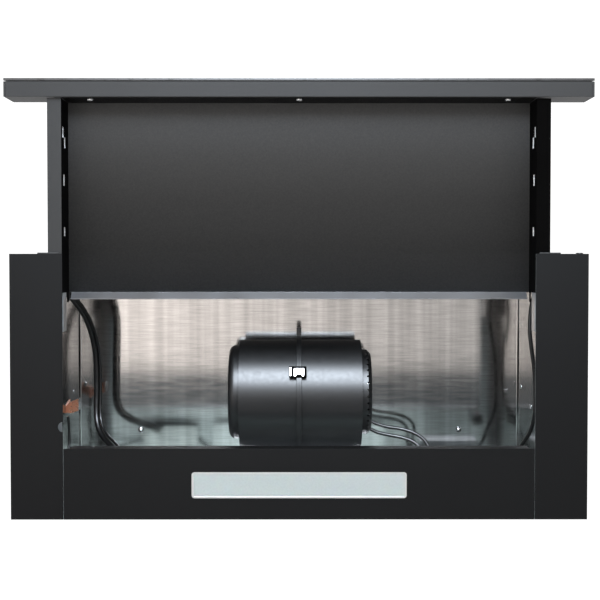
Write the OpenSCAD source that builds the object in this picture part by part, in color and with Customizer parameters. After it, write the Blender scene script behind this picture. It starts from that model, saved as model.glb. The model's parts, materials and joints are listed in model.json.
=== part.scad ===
// Telescopic range hood, 60 cm, with the visor pulled out and the grease filters taken out.
// +X right, +Y to the wall, +Z up. The origin is in the plane of the cabinet's underside,
// at the middle of the frame. The front of the hood faces -Y.

/* [Frame] */
// Width of the painted frame
body_w = 590; // [580:1:597]
// Depth of the painted frame, without the visor's fascia
body_d = 272; // [268:1:280]
// Height of the painted frame
frame_h = 40; // [40:0.5:44]
// Width of each side strip, seen from below
strip_w = 53.8; // [53.8:0.1:54.4]
// Depth of the rear strip, seen from below
rear_w = 72.8; // [70:0.1:74]
// Height of the lip on the front edge of the rear strip
lip_h = 19; // [10:1:24]
// Thickness of the sheet steel
sheet = 0.8; // [0.8:0.1:0.8]

/* [Housing] */
// Width of the galvanised housing
box_w = 516; // [516:1:516]
// Depth of the galvanised housing
box_d = 251; // [251:1:251]
// Height of the housing above the frame
box_h = 135.8; // [135.8:0.1:150]

/* [Visor] */
// How far the visor travels
travel = 157; // [150:1:157]
// Width of the fascia
fascia_w = 598; // [592:1:600]
// Height of the fascia
fascia_h = 41.4; // [40:0.1:44]
// Thickness of the fascia, front to back
fascia_t = 18.8; // [16:0.1:22]
// Thickness of the fascia's front plate
front_plate_t = 2.6; // [2:0.1:4]
// Length of the visor's top panel behind the fascia
panel_l = 198.7; // [190:0.1:200]

/* [Blower] */
// Distance of the blower's axis behind the middle of the frame
axis_y = 17; // [10:1:20]
// Height of the blower's axis above the cabinet plane
axis_z = 68; // [67:1:70]
// Radius of the impeller
wheel_r = 48; // [40:1:49]
// Number of impeller blades
blades = 36; // [24:2:40]
// Wall of the plastic scroll
scroll_wall = 2; // [1.5:0.1:2.5]

/* [Duct collar] */
// Outside radius of the duct collar
collar_r = 60; // [60:1:60]
// Height of the duct collar above its flange
collar_h = 38; // [30:1:50]
// Distance of the collar's axis behind the middle of the frame
collar_y = 28; // [24:1:32]

/* [Lamp] */
// Length of the lamp lens
lens_l = 220; // [200:1:230]
// Width of the lamp lens
lens_w = 26.6; // [24:0.1:30]

/* [Hidden] */
$fn = 64;

half_w = body_w / 2;
front_y = -body_d / 2;
rear_y = body_d / 2;
bottom_z = -frame_h;
strip_x = half_w - strip_w;
rear_front_y = rear_y - rear_w;
seam = 0.3;

wall_x = box_w / 2 - sheet;
box_rear_y = rear_y - 1;
box_front_y = box_rear_y - box_d;
ceiling_z = box_h - sheet;

fascia_rear_y = front_y - travel - 1.7;
fascia_front_y = fascia_rear_y - fascia_t;
fascia_bottom_z = bottom_z - 3;
fascia_top_z = fascia_bottom_z + fascia_h;
fascia_back_y = fascia_front_y + front_plate_t + 0.8;

channel_x = 241.8;
channel_out_x = 256;
channel_z0 = bottom_z + 1.7;
panel_top_z = -1.5;
panel_rear_y = fascia_rear_y + panel_l;
slide_z = -20.3;
slide_front_y = fascia_rear_y + 4;
slide_rear_y = -56;

lens_y = 100.7;
scroll_x0 = -65;
scroll_x1 = 68;
flap_z = 160;

// A box from its lowest corner to its highest corner
module block(lo, hi) {
    translate(lo) cube(hi - lo);
}

// A cylinder along +X from x0 to x1 around the line y, z
module rod_x(r, x0, x1, y, z) {
    translate([x0, y, z]) rotate([0, 90, 0]) cylinder(r = r, h = x1 - x0);
}

// A cylinder along +Y from y0 to y1 around the line x, z
module rod_y(r, y0, y1, x, z) {
    translate([x, y0, z]) rotate([-90, 0, 0]) cylinder(r = r, h = y1 - y0);
}

// A cylinder along +Z from z0 to z1 around the line x, y
module rod_z(r, z0, z1, x, y) {
    translate([x, y, z0]) cylinder(r = r, h = z1 - z0);
}

// Its children on the right (side 1) or mirrored to the left (side -1)
module on_side(side) {
    mirror([side < 0 ? 1 : 0, 0, 0]) children();
}

// A flat plate with round corners, around x = 0
module round_plate(l, w, r, y, z0, z1) {
    translate([0, y, z0]) linear_extrude(z1 - z0) {
        square([l - 2 * r, w], center = true);
        square([l, w - 2 * r], center = true);
        for (sx = [-1, 1], sy = [-1, 1])
            translate([sx * (l / 2 - r), sy * (w / 2 - r)]) circle(r, $fn = 32);
    }
}

// ---- Galvanised housing ----

// Screws from the top sheet into the blower's flange
top_screws = [[-186, 69.5], [188, 69.5]];

// Top and front wall are one folded sheet
module housing_shell() {
    color("silver") difference() {
        union() {
            block([-wall_x, box_front_y, ceiling_z], [wall_x, box_rear_y, box_h]);
            block([-wall_x, box_front_y, 0.8], [wall_x, box_front_y + sheet, box_h]);
        }
        for (p = top_screws) rod_z(1.55, ceiling_z - 1, box_h + 1, p[0], p[1]);
        rod_z(collar_r - 4, ceiling_z - 1, box_h + 1, 0, collar_y);
        rod_z(8.1, ceiling_z - 1, box_h + 1, 205, 108);
        rod_z(2, ceiling_z - 1, box_h + 1, -252, -61);
        rod_z(2, ceiling_z - 1, box_h + 1, 248, -53);
    }
}

// Rear wall, spot-welded to the side plates
module housing_rear() {
    color("silver") block([-wall_x, box_rear_y - sheet, -6], [wall_x, box_rear_y, ceiling_z]);
}

// Where the leads pass from a side cover into the housing
lead_y = -97;
lead_z = 9;

module lead_notch() {
    block([wall_x + 1.5, lead_y - 13, -3], [276, lead_y + 13, 1]);
}

screw_x = 278;
screw_y = 110;

// A side plate with a flange folded in under the top and one folded out under the cabinet
module housing_side() {
    difference() {
        union() {
            block([wall_x, box_front_y, -37], [wall_x + sheet, box_rear_y - sheet - 0.1, box_h]);
            block([243, box_front_y + 1, ceiling_z - sheet], [wall_x, box_rear_y - sheet - 0.1, ceiling_z]);
            block([wall_x + sheet, box_front_y + 2, -2 * sheet], [292, box_rear_y - 3, -sheet]);
        }
        rod_x(9, wall_x - 1, wall_x + 3, lead_y, lead_z);
        rod_x(2, wall_x - 1, wall_x + 3, -56, 112);
        lead_notch();
        for (y = [-screw_y, screw_y]) rod_z(2.75, -3, 1, screw_x, y);
        rod_z(2, ceiling_z - 2, ceiling_z + 1, 252, -61);
        rod_z(2, ceiling_z - 2, ceiling_z + 1, 248, -53);
    }
}

// Places of the rivets in each side plate, as [Y, Z]
rivets_left = [[20, 96]];
rivets_right = [[17, 114], [33, 61]];

module rivet_holes(places) {
    for (p = places) rod_x(1.55, wall_x - 1, wall_x + 2, p[0], p[1]);
}

module housing_side_left() {
    color("silver") on_side(-1) difference() {
        housing_side();
        rivet_holes(rivets_left);
    }
}

module housing_side_right() {
    color("silver") difference() {
        housing_side();
        rivet_holes(rivets_right);
    }
}

// ---- Painted frame ----

// Bottom strip, outer wall, top flange, rear wall and front wall, folded from one sheet
module side_cover() {
    difference() {
        union() {
            block([strip_x, front_y, bottom_z], [half_w, rear_y, bottom_z + sheet]);
            block([half_w - sheet, front_y, bottom_z], [half_w, rear_y, 0]);
            block([262.2, front_y, -sheet], [half_w, rear_y, 0]);
            block([strip_x, rear_y - sheet, bottom_z], [half_w, rear_y, 0]);
            block([wall_x, front_y, bottom_z + 1.6], [half_w, front_y + sheet, -sheet]);
            block([267, front_y, bottom_z], [half_w, front_y + sheet, bottom_z + 2]);
        }
        for (y = [-screw_y, screw_y]) rod_z(2.75, -2, 1, screw_x, y);
        lead_notch();
    }
}

module side_cover_left() {
    color("#222426") difference() {
        on_side(-1) side_cover();
        rod_z(5.2, bottom_z - 1, bottom_z + 2, -strip_x, 41);
        block([-284, front_y - 1, -30], [-262, front_y + 1, -10]);
    }
}

module side_cover_right() {
    color("#222426") difference() {
        side_cover();
        rod_y(3.7, front_y - 1, front_y + 1, 289.9, -22);
    }
}

// Rear strip with the lamp's opening, a lip on its front edge and a wall at the back
module rear_cover() {
    x1 = strip_x - seam;
    color("#222426") difference() {
        union() {
            block([-x1, rear_front_y, bottom_z], [x1, rear_y, bottom_z + sheet]);
            block([-236, rear_front_y, bottom_z], [236, rear_front_y + sheet, bottom_z + lip_h]);
            block([-x1, rear_y - sheet, bottom_z], [x1, rear_y, 6]);
        }
        round_plate(lens_l + 0.4, lens_w + 0.4, 3.2, lens_y, bottom_z - 1, bottom_z + 2);
    }
}

// Strip that ties the two side covers together above the visor
module front_rail() {
    color("#222426") {
        block([-262.2, front_y, -sheet], [262.2, box_front_y - 0.2, 0]);
    }
}

// Plastic pad clipped over the front edge of a side strip, for the visor to glide on
module glide_pad() {
    block([244.8, front_y - 1.3, bottom_z + 0.1], [266.5, front_y, bottom_z + 1.4]);
    block([244.8, front_y, bottom_z + sheet], [256.8, front_y + 14, bottom_z + 1.4]);
}

module glide_pads() {
    color("#303234") for (side = [-1, 1]) on_side(side) glide_pad();
}

// ---- Lamp ----

module led_lens() {
    color("white") {
        round_plate(lens_l, lens_w, 3, lens_y, bottom_z, bottom_z + sheet);
        round_plate(lens_l + 6, lens_w + 4, 4, lens_y, bottom_z + sheet, bottom_z + 2);
    }
}

module led_tray() {
    z0 = bottom_z + 2;
    color("white") difference() {
        round_plate(lens_l + 6, lens_w + 4, 4, lens_y, z0, z0 + 12);
        round_plate(lens_l + 3, lens_w + 1, 2.5, lens_y, z0 - 1, z0 + 11);
    }
}

module led_board() {
    z1 = bottom_z + 13;
    color("#f4f4ee") {
        block([-104, lens_y - 8, z1 - 1.2], [104, lens_y + 8, z1]);
        for (i = [0 : 11])
            translate([-93.5 + 17 * i, lens_y, z1 - 1.6]) cube([3.5, 2.8, 0.8], center = true);
    }
}

module led_driver() {
    color("#2b2d30") block([-205, 88, bottom_z + sheet], [-133, 118, -19]);
}

// ---- Blower ----

// The scroll's outline in the Y-Z plane, its arcs growing from the tongue to the outlet
module scroll_outline(inset) {
    r1 = 58 - inset;
    r2 = 64 - inset;
    r3 = 54 - inset;
    intersection() {
        translate([axis_y, axis_z - 2]) circle(r1, $fn = 96);
        translate([axis_y - 80, axis_z - 82]) square([80, 80]);
    }
    intersection() {
        translate([axis_y, axis_z + 4]) circle(r2, $fn = 96);
        translate([axis_y, axis_z - 82]) square([80, 86]);
    }
    intersection() {
        translate([axis_y - 4, axis_z - 2]) circle(r3, $fn = 96);
        translate([axis_y - 80, axis_z - 2]) square([76, 80]);
    }
    translate([axis_y - 4, axis_z - 2]) square([4, 6]);
    translate([axis_y - 4, axis_z + 4]) square([68 - inset, 34]);
    translate([-25 + inset, axis_z + 20]) square([106 - 2 * inset, ceiling_z - axis_z - 21]);
}

// The outline as a solid between two planes
module scroll_solid(inset, x0, x1) {
    translate([x0, 0, 0]) rotate([90, 0, 90]) linear_extrude(x1 - x0) scroll_outline(inset);
}

// The outlet's opening through the top of the scroll
module outlet_hole(x0, x1) {
    block([x0, -25 + scroll_wall, axis_z + 40], [x1, 81 - scroll_wall, ceiling_z + 5]);
}

module scroll_left() {
    color("#1d1f22") difference() {
        union() {
            scroll_solid(0, scroll_x0, 0);
            intersection() {
                scroll_solid(-5, -2.6, 0);
                block([-10, -60, 0], [10, 90, ceiling_z - 12]);
            }
            block([-2.6, -54.7, axis_z - 6], [0, -40.5, axis_z + 6]);
        }
        scroll_solid(scroll_wall, scroll_x0 + scroll_wall, 1);
        outlet_hole(scroll_x0 + scroll_wall, 1);
        rod_x(40, scroll_x0 - 1, scroll_x0 + 5, axis_y, axis_z);
        rod_x(1.6, -4, 1, -50, axis_z);
    }
}

module scroll_right() {
    color("#1d1f22") difference() {
        union() {
            scroll_solid(0, 0, scroll_x1);
            intersection() {
                scroll_solid(-5, 0, 2.6);
                block([-10, -60, 0], [10, 90, ceiling_z - 12]);
            }
            block([0, -54.7, axis_z - 6], [2.6, -40.5, axis_z + 6]);
        }
        scroll_solid(scroll_wall, -1, scroll_x1 - scroll_wall);
        outlet_hole(-1, scroll_x1 - scroll_wall);
        rod_x(42, scroll_x1 - 5, scroll_x1 + 1, axis_y, axis_z);
        rod_x(1.6, -1, 4, -50, axis_z);
    }
}

// Clips that slip over the joint flange: one low at the front, one at the rear
module scroll_clips() {
    tilt = 25.9;
    color("#d8dadc") {
        translate([0, axis_y, axis_z - 2]) rotate([-tilt, 0, 0]) translate([0, 0, -63]) difference() {
            translate([-10.5, -6.5, -1.8]) cube([18.5, 13, 6.4]);
            translate([-2.8, -8, -0.1]) cube([5.6, 16, 8]);
            translate([-7.8, -8, -0.4]) cube([3.4, 16, 8]);
            translate([4.4, -8, -0.1]) cube([2.2, 16, 8]);
        }
        translate([0, 86, 96]) difference() {
            translate([-6, -4, -8]) cube([12, 6, 16]);
            translate([-2.8, -5, -9]) cube([5.6, 5.1, 18]);
        }
    }
}

// Bell-mouth on the open side
module inlet_ring() {
    mid_r = 45;
    color("#1b1c1e") translate([scroll_x0, axis_y, axis_z]) rotate([0, -90, 0]) rotate_extrude($fn = 96) {
        translate([mid_r + 5.2, 0]) square([1.8, 5]);
        translate([mid_r - 7, -1.9]) square([1.8, 6.9]);
        translate([mid_r, 5]) intersection() {
            difference() {
                circle(7, $fn = 48);
                circle(5.2, $fn = 48);
            }
            translate([-8, 0]) square([16, 8]);
        }
    }
}

cap_r = 47;
cap_x1 = 79;

// Cap over the motor, with a ring of cooling slots
module motor_cap() {
    slots = 40;
    color("#1b1c1e") difference() {
        union() {
            rod_x(cap_r, scroll_x1, cap_x1 - 4, axis_y, axis_z);
            translate([cap_x1 - 4, axis_y, axis_z]) rotate([0, 90, 0])
                cylinder(r1 = cap_r, r2 = cap_r - 4, h = 4);
        }
        rod_x(cap_r - 3, scroll_x1 - 1, cap_x1 - 5, axis_y, axis_z);
        rod_x(cap_r - 6.5, scroll_x1 - 1, cap_x1 - 2, axis_y, axis_z);
        for (i = [0 : slots - 1])
            translate([0, axis_y, axis_z]) rotate([360 / slots * i, 0, 0])
                translate([cap_x1 - 5.5, -1.1, -cap_r - 1]) cube([2.6, 2.2, 9]);
    }
}

motor_x0 = 8;
motor_x1 = 77;
shaft_r = 4;
bearing_r = 11;

module motor_can() {
    color("#8f9498") difference() {
        rod_x(32, motor_x0, motor_x1, axis_y, axis_z);
        rod_x(31, motor_x0 + 9, motor_x1 - 9, axis_y, axis_z);
        rod_x(bearing_r, motor_x0 + 1, motor_x0 + 10, axis_y, axis_z);
        rod_x(bearing_r, motor_x1 - 10, motor_x1 - 1, axis_y, axis_z);
        rod_x(6, motor_x0 - 1, motor_x0 + 2, axis_y, axis_z);
    }
}

module motor_stator() {
    color("#6f6257") difference() {
        rod_x(31, motor_x0 + 16, motor_x1 - 16, axis_y, axis_z);
        rod_x(21.5, motor_x0 + 15, motor_x1 - 15, axis_y, axis_z);
    }
}

module bearing(x0) {
    difference() {
        rod_x(bearing_r, x0, x0 + 7, axis_y, axis_z);
        rod_x(shaft_r + 0.05, x0 - 1, x0 + 8, axis_y, axis_z);
    }
}

module motor_bearings() {
    color("#c0c4c8") for (x = [motor_x0 + 1, motor_x1 - 8]) bearing(x);
}

module motor_rotor() {
    color("#7a7f84") difference() {
        rod_x(21, motor_x0 + 17, motor_x1 - 17, axis_y, axis_z);
        rod_x(shaft_r + 0.03, motor_x0 + 16, motor_x1 - 16, axis_y, axis_z);
    }
}

module motor_shaft() {
    color("#c8ccd0") rod_x(shaft_r, -12, motor_x1 - 1.2, axis_y, axis_z);
}

// Double wheel: a hub disc with a boss, and a ring of blades on each side of it
module impeller_hub() {
    color("#2a2c2f") difference() {
        union() {
            rod_x(wheel_r, -4, -1.5, axis_y, axis_z);
            rod_x(9, -11, 3, axis_y, axis_z);
        }
        rod_x(shaft_r + 0.03, -20, 20, axis_y, axis_z);
    }
}

// Blades from x0 to x1, tied by an end ring from ring_x, 2 wide
module blade_ring(x0, x1, ring_x) {
    rim_in = wheel_r - 9;
    difference() {
        rod_x(wheel_r + 0.5, ring_x, ring_x + 2, axis_y, axis_z);
        rod_x(rim_in, ring_x - 1, ring_x + 3, axis_y, axis_z);
    }
    for (i = [0 : blades - 1])
        translate([0, axis_y, axis_z]) rotate([360 / blades * i, 0, 0])
            translate([x0, -0.5, rim_in + 0.5]) cube([x1 - x0, 1, 8.2]);
}

module impeller_left() {
    color("#2a2c2f") blade_ring(-59, -4, -60);
}

module impeller_right() {
    color("#2a2c2f") blade_ring(-1.5, 61, 60);
}

module capacitor() {
    color("#e4e6e8") {
        rod_x(15, 92, 148, 112, 112);
        rod_x(4, 148, 156, 112, 112);
    }
}

// ---- Outlet ----

module outlet_gasket() {
    color("#33363a") difference() {
        block([scroll_x0, -25, ceiling_z - 1], [scroll_x1, 81, ceiling_z]);
        rod_z(collar_r - 4, ceiling_z - 2, ceiling_z + 1, 0, collar_y);
        outlet_hole(scroll_x0 + 6, scroll_x1 - 6);
    }
}

module duct_collar() {
    wall = 1.6;
    color("#1b1c1e") difference() {
        union() {
            rod_z(collar_r + 12, box_h, box_h + 2.2, 0, collar_y);
            rod_z(collar_r, box_h, box_h + 2.2 + collar_h, 0, collar_y);
        }
        rod_z(collar_r - wall, flap_z - 3.4, box_h + 60, 0, collar_y);
        rod_z(collar_r - wall - 2.4, box_h - 1, flap_z, 0, collar_y);
        rod_x(1.5, -80, 80, collar_y, flap_z);
        for (a = [45 : 90 : 315])
            translate([66 * cos(a), collar_y + 66 * sin(a), box_h - 1]) cylinder(r = 1.75, h = 5);
    }
}

module flap_pin() {
    color("#c8ccd0") rod_x(1.5, -collar_r, collar_r, collar_y, flap_z);
}

// Half-round flap in front of the pin, with knuckles at the given places along it
module flap_half(knuckles) {
    flap_r = collar_r - 2.4;
    difference() {
        union() {
            difference() {
                rod_z(flap_r, flap_z - 3.2, flap_z - 2, 0, collar_y);
                block([-flap_r - 1, collar_y - 3.4, flap_z - 5], [flap_r + 1, collar_y + flap_r + 1, flap_z]);
            }
            for (x = knuckles) {
                rod_x(2.6, x, x + 22, collar_y, flap_z);
                block([x, collar_y - 4, flap_z - 3.2], [x + 22, collar_y - 0.4, flap_z - 1.9]);
            }
        }
        rod_x(1.55, -flap_r - 1, flap_r + 1, collar_y, flap_z);
    }
}

module flap_front() {
    color("#2a2c2f") flap_half([-50, 2]);
}

module flap_rear() {
    color("#2a2c2f") translate([0, 2 * collar_y, 0]) mirror([0, 1, 0]) flap_half([-24, 28]);
}

module collar_screws() {
    color("#c8ccd0") for (a = [45 : 90 : 315])
        translate([66 * cos(a), collar_y + 66 * sin(a), box_h + 2.2]) {
            cylinder(r = 3.4, h = 1.8, $fn = 32);
            translate([0, 0, -2.2]) cylinder(r = 1.7, h = 2.5, $fn = 32);
        }
}

// ---- Ball slides ----

// Outer member on the housing's side plate
module slide_fixed() {
    y0 = front_y + 2;
    y1 = y0 + 250;
    block([wall_x - 1, y0, slide_z - 13.5], [wall_x, y1, slide_z + 13.5]);
    for (s = [0, 1]) mirror([0, 0, s]) translate([0, 0, s * -2 * slide_z])
        block([249, y0, slide_z + 12.4], [wall_x, y1, slide_z + 13.5]);
}

// Inner member on the visor's side channel
module slide_moving() {
    block([channel_x + sheet, slide_front_y, slide_z - 7.6], [channel_x + 2, slide_rear_y, slide_z + 7.6]);
    for (z = [slide_z - 7.6, slide_z + 6.5])
        block([channel_x + sheet, slide_front_y, z], [252, slide_rear_y, z + 1.1]);
}

// Retainer with two rows of balls between the members, each ball loose in its own hole
module slide_cage() {
    balls = 8;
    pitch = 8.6;
    ball_r = 2.2;
    ball_x = 250.8;
    y0 = -(balls * pitch) / 2 - 95;
    y1 = y0 + balls * pitch;
    difference() {
        union() {
            block([253.6, y0, slide_z - 11.2], [254.4, y1, slide_z + 11.2]);
            for (z = [-10, 10]) block([247.8, y0, slide_z + z - 0.4], [254.4, y1, slide_z + z + 0.4]);
        }
        for (i = [0 : balls - 1])
            rod_z(ball_r + 0.15, slide_z - 12, slide_z + 12, ball_x, y0 + pitch * (i + 0.5));
    }
    for (i = [0 : balls - 1], z = [-10, 10])
        translate([ball_x, y0 + pitch * (i + 0.5), slide_z + z]) sphere(r = ball_r, $fn = 24);
}

module slide_fixed_left() {
    color("#b9bec2") on_side(-1) slide_fixed();
}

module slide_fixed_right() {
    color("#b9bec2") slide_fixed();
}

module slide_moving_left() {
    color("#b9bec2") on_side(-1) slide_moving();
}

module slide_moving_right() {
    color("#b9bec2") slide_moving();
}

module slide_cage_left() {
    color("#d4d7da") on_side(-1) slide_cage();
}

module slide_cage_right() {
    color("#d4d7da") slide_cage();
}

// ---- Visor ----

// Folded channel behind the front plate: bottom, rear wall and top
module fascia_back() {
    y0 = fascia_back_y;
    y1 = fascia_rear_y;
    x1 = fascia_w / 2 - 2;
    color("#56585b") {
        block([-x1, y0, fascia_bottom_z], [x1, y1, fascia_bottom_z + sheet]);
        block([-x1, y1 - sheet, fascia_bottom_z], [x1, y1, fascia_top_z]);
        block([-x1, y0, fascia_top_z - sheet], [x1, y1, fascia_top_z]);
        for (s = [0, 1]) translate([0, 0, s * (fascia_h - 7)])
            block([-x1, y0, fascia_bottom_z], [x1, y0 + sheet, fascia_bottom_z + 7]);
    }
}

module fascia_plate() {
    color("#2a2c2f")
        block([-fascia_w / 2, fascia_front_y, fascia_bottom_z],
              [fascia_w / 2, fascia_front_y + front_plate_t, fascia_top_z]);
}

// Two strips of tape that hold the plate, set in from the edges
module fascia_tape() {
    y0 = fascia_front_y + front_plate_t;
    color("#101112") for (z = [fascia_bottom_z + 1.2, fascia_top_z - 6.4])
        block([-fascia_w / 2 + 4, y0, z], [fascia_w / 2 - 4, fascia_back_y, z + 5.2]);
}

// Plastic end of the fascia channel: a flat face and a plug inside the channel
module fascia_cap() {
    x0 = fascia_w / 2 - 2;
    block([x0, fascia_back_y, fascia_bottom_z], [fascia_w / 2, fascia_rear_y, fascia_top_z]);
    block([x0 - 8, fascia_back_y + 2.2, fascia_bottom_z + sheet], [x0, fascia_rear_y - sheet, fascia_top_z - sheet]);
}

module fascia_caps() {
    color("#4c4e51") for (side = [-1, 1]) on_side(side) fascia_cap();
}

fascia_screw_x = [-213.5, 0, 213.5];
fascia_screw_z = -31;

// Top panel, with a flange down at the front and a sloping lip at the rear
module visor_panel() {
    y0 = fascia_rear_y;
    color("#3a3c3e") difference() {
        union() {
            block([-channel_out_x, y0, panel_top_z - sheet], [channel_out_x, panel_rear_y, panel_top_z]);
            block([-241, y0, channel_z0], [241, y0 + sheet, panel_top_z]);
            translate([-239, 0, 0]) rotate([90, 0, 90]) linear_extrude(478) polygon([
                [panel_rear_y - 0.4, panel_top_z], [panel_rear_y - 0.4, panel_top_z - sheet],
                [panel_rear_y, panel_top_z - sheet], [panel_rear_y + 6.4, panel_top_z - 6],
                [panel_rear_y + 6.4, panel_top_z - 12], [panel_rear_y + 7.2, panel_top_z - 12],
                [panel_rear_y + 7.2, panel_top_z - 5.6], [panel_rear_y + 0.4, panel_top_z]
            ]);
        }
        for (x = fascia_screw_x) rod_y(1.8, y0 - 1, y0 + 2, x, fascia_screw_z);
    }
}

// Side channel, open to the outside, around the slide; the filters hook into its slots
module visor_side() {
    y0 = fascia_rear_y + sheet;
    y1 = panel_rear_y;
    slots = [[-266, -255, -29], [-256, -245, -20.5], [-217.5, -206, -25], [-163.5, -154.5, -23]];
    difference() {
        union() {
            block([channel_x, y0, channel_z0], [channel_x + sheet, y1, panel_top_z - sheet]);
            block([channel_x, y0, channel_z0], [channel_out_x, y1, channel_z0 + sheet]);
            block([channel_x, y0, panel_top_z - 2 * sheet], [channel_out_x, y1, panel_top_z - sheet]);
            block([channel_x, y0, -9], [channel_x + sheet, y1 + 10.4, -3.6]);
        }
        for (s = slots) block([channel_x - 1, s[0], s[2] - 2.6], [channel_x + 2, s[1], s[2] + 2.6]);
    }
}

module visor_side_left() {
    color("#4a4c4e") on_side(-1) visor_side();
}

module visor_side_right() {
    color("#2c2e30") visor_side();
}

module fascia_screws() {
    color("#d8dadc") for (x = fascia_screw_x) {
        rod_y(1.75, fascia_rear_y, fascia_rear_y + 1, x, fascia_screw_z);
        rod_y(3.6, fascia_rear_y + sheet, fascia_rear_y + sheet + 2, x, fascia_screw_z);
    }
}

// ---- Controls ----

// Frame of the speed rocker in the left front corner, with its two pivots
module speed_switch() {
    color("#1b1c1e") difference() {
        union() {
            block([-284, front_y + 0.1, -30], [-262, front_y + 24, -10]);
            block([-286, front_y + sheet, -32], [-260, front_y + 3, -8]);
        }
        block([-282, front_y - 1, -28], [-264, front_y + 12, -12]);
        rod_x(1.55, -283.2, -262.8, front_y + 6, -20);
    }
}

module speed_rocker() {
    color("#3a3c3f") {
        block([-281.4, front_y + 0.9, -26.4], [-264.6, front_y + 8, -13.6]);
        rod_x(1.5, -283, -263, front_y + 6, -20);
    }
}

module light_switch() {
    color("#1b1c1e") difference() {
        block([281, front_y + sheet, -32], [half_w - sheet - 0.1, front_y + 22, -12]);
        rod_y(3.7, front_y - 1, front_y + 9, 289.9, -22);
    }
}

module light_button() {
    color("#3a3c3f") rod_y(3.6, front_y - 1.2, front_y + 6, 289.9, -22);
}

// Switch on a post behind the rear strip's lip, that the visor's rear lip reaches when it is closed
module microswitch() {
    color("#2a2c2f") difference() {
        union() {
            block([227, 70.2, -16], [239, 84, -2]);
            block([229, 74, bottom_z + sheet], [237, 84, -16]);
        }
        block([231.4, 69, -9.1], [234.6, 77, -5.9]);
    }
}

module microswitch_button() {
    color("#b03a30") block([231.5, 68.6, -9], [234.5, 74, -6]);
}

// ---- Wiring ----

module terminal_box() {
    color("#2a2c2f") difference() {
        block([150, 96, 22], [222, box_rear_y - sheet, 66]);
        block([152, 94, 24], [220, box_rear_y - sheet - 2, 64]);
        rod_x(4, 148, 153, 112, 40);
    }
}

module terminal_cover() {
    color("#2a2c2f") {
        block([150, 94, 22], [222, 96, 66]);
        block([152.2, 96, 24.2], [219.8, 98, 63.8]);
    }
}

// Gland for the mains cord, in the top
module mains_gland() {
    color("#1b1c1e") difference() {
        union() {
            rod_z(8, ceiling_z - 4, box_h + 6, 205, 108);
            rod_z(12, box_h, box_h + 5, 205, 108);
            rod_z(12, ceiling_z - 4, ceiling_z, 205, 108);
        }
        rod_z(4, ceiling_z - 10, box_h + 10, 205, 108);
    }
}

// Copper contact spring on the left side plate
module earth_contact() {
    color("#c9825f") difference() {
        union() {
            block([-wall_x, 25, 50], [-wall_x + 0.8, 39, 74]);
            translate([-wall_x, 0, 0]) rotate([90, 0, 0]) translate([0, 0, -39]) linear_extrude(13) polygon([
                [0, 50], [16, 42], [16.6, 44], [16.6, 56], [15.8, 56], [15.8, 44.2], [0.8, 51.2], [0, 51.2]
            ]);
        }
        rod_x(1.6, -wall_x - 1, -wall_x + 2, 32, 66);
    }
}

// Points on a smooth curve through the route's own points
function between(a, b, c, d, t) =
    0.5 * (2 * b + (c - a) * t + (2 * a - 5 * b + 4 * c - d) * t * t + (3 * b - a - 3 * c + d) * t * t * t);

function smooth(p, n) = [
    for (i = [0 : len(p) - 2], k = [0 : n - 1])
        between(p[max(i - 1, 0)], p[i], p[i + 1], p[min(i + 2, len(p) - 1)], k / n),
    p[len(p) - 1]
];

function unit(v) = v / norm(v);

// Direction of the path at point i
function heading(p, i) = unit(p[min(i + 1, len(p) - 1)] - p[max(i - 1, 0)]);

// A side direction carried along the path without twist
function sides(p, i, n) = i == len(p) ? [] :
    let (t = heading(p, i), m = unit(n - (n * t) * t)) concat([m], sides(p, i + 1, m));

// A round tube of 8 sides along a path
module tube(path, r) {
    s = sides(path, 0, cross(heading(path, 0), [0.1, 0.3, 1]));
    n = len(path);
    points = [
        for (i = [0 : n - 1], k = [0 : 7])
            let (t = heading(path, i), a = 45 * k) path[i] + r * (cos(a) * s[i] + sin(a) * cross(t, s[i]))
    ];
    walls = [
        for (i = [0 : n - 2], k = [0 : 7])
            let (j = (k + 1) % 8) [8 * i + k, 8 * i + j, 8 * i + 8 + j, 8 * i + 8 + k]
    ];
    ends = [[for (k = [7 : -1 : 0]) k], [for (k = [0 : 7]) 8 * (n - 1) + k]];
    polyhedron(points, concat(walls, ends));
}

// A path beside another one, at distance d to the side that n points to
function beside(path, n, d) = let (s = sides(path, 0, n)) [for (i = [0 : len(path) - 1]) path[i] + d * s[i]];

left_route = [
    [-272, -111.9, -18], [-272, -104, -17], [-269, -98, -10], [-264, -97, 2], [-257.5, -97, 10.5],
    [-250, -95, 14], [-243, -88, 21], [-236, -76, 32], [-230.5, -60, 45], [-227.5, -40, 59],
    [-226.5, -18, 69], [-226.5, 14, 72], [-226.5, 42, 70], [-223, 57, 63], [-214, 68, 52],
    [-202, 76, 38], [-190, 84, 18], [-184, 91, 0], [-183, 93, -18.8]
];
right_route = [
    [287, -113.9, -22], [286, -106, -21], [280, -99, -13], [271, -97, -1], [263, -97, 7],
    [256, -96, 10], [249.5, -89, 11], [246.5, -75, 11], [245.5, -55, 10],
    [247.5, -35, 10], [250.5, -15, 11], [252.5, 10, 13], [252.5, 35, 16], [250, 55, 26],
    [244, 70, 36], [236, 84, 44], [230, 98, 48], [222.1, 106, 48]
];
motor_route_a = [
    [cap_x1, 50, 72], [88, 54, 71], [100, 57, 70], [114, 59, 69], [128, 63, 66],
    [139, 70, 60], [144, 80, 53], [143, 92, 47], [142, 104, 42], [149.9, 112, 40]
];
motor_route_b = [
    [cap_x1, 58, 62], [88, 62, 61], [100, 64.5, 60], [114, 67, 58], [126, 71, 55],
    [134, 78, 50], [137, 88, 44], [137, 99, 37], [141, 109, 32], [149.9, 113, 31]
];
feed_route = [
    [149.9, 122, 28], [140, 123, 22], [122, 124, 6], [100, 125, -8], [60, 126, -16], [0, 126, -18],
    [-60, 126, -20], [-100, 124, -24], [-121, 116, -28], [-132.9, 106, -29]
];
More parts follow.
